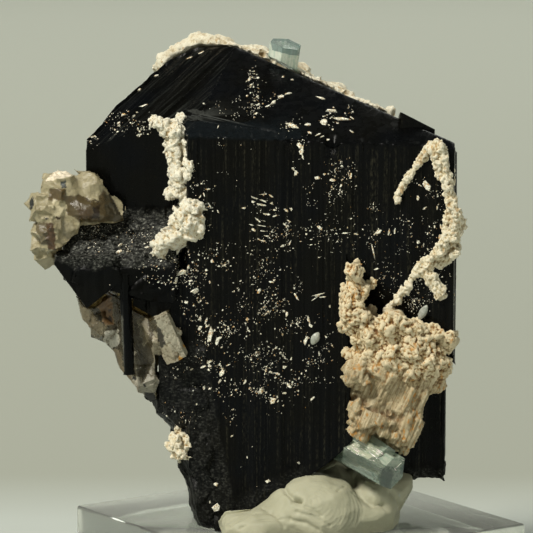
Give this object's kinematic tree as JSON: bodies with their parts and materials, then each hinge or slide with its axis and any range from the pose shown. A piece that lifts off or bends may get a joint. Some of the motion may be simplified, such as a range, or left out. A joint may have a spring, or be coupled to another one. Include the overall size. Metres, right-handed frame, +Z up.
{
  "type": "aquamarine and black tourmaline mineral specimen",
  "caption": "Black tourmaline crystal with pale blue aquamarine prisms, peach albite and smoky quartz, held upright in putty on a clear square display block.",
  "frame": {"origin": "centre of the display block's underside, which rests on the surface", "axes": "+Z up, -Y towards the viewer of the show face, +X to that viewer's right"},
  "size_m": [0.0574, 0.0526, 0.069],
  "materials": {
    "clear_acrylic": "polished clear acrylic",
    "putty": "matt, pressed by fingers",
    "black_tourmaline": "glassy and striated, dull where broken",
    "aquamarine": "glassy with fine growth lines",
    "peach_albite": "dull, bladed and nodular",
    "cream_albite": "dull and nodular",
    "milky_quartz": "glassy and cloudy",
    "smoky_quartz": "glassy, partly frosted"
  },
  "bodies": {
    "root": {"acrylic_base": "clear_acrylic", "mounting_putty": "putty", "schorl_crystal": "black_tourmaline", "aquamarine_lower": "aquamarine", "aquamarine_top": "aquamarine", "albite_mass": "peach_albite", "albite_vein_right": "cream_albite", "albite_vein_left": "cream_albite", "feldspar_crust": "cream_albite", "feldspar_patch": "cream_albite", "left_quartz": "milky_quartz", "smoky_quartz": "smoky_quartz"}
  },
  "joints": []
}
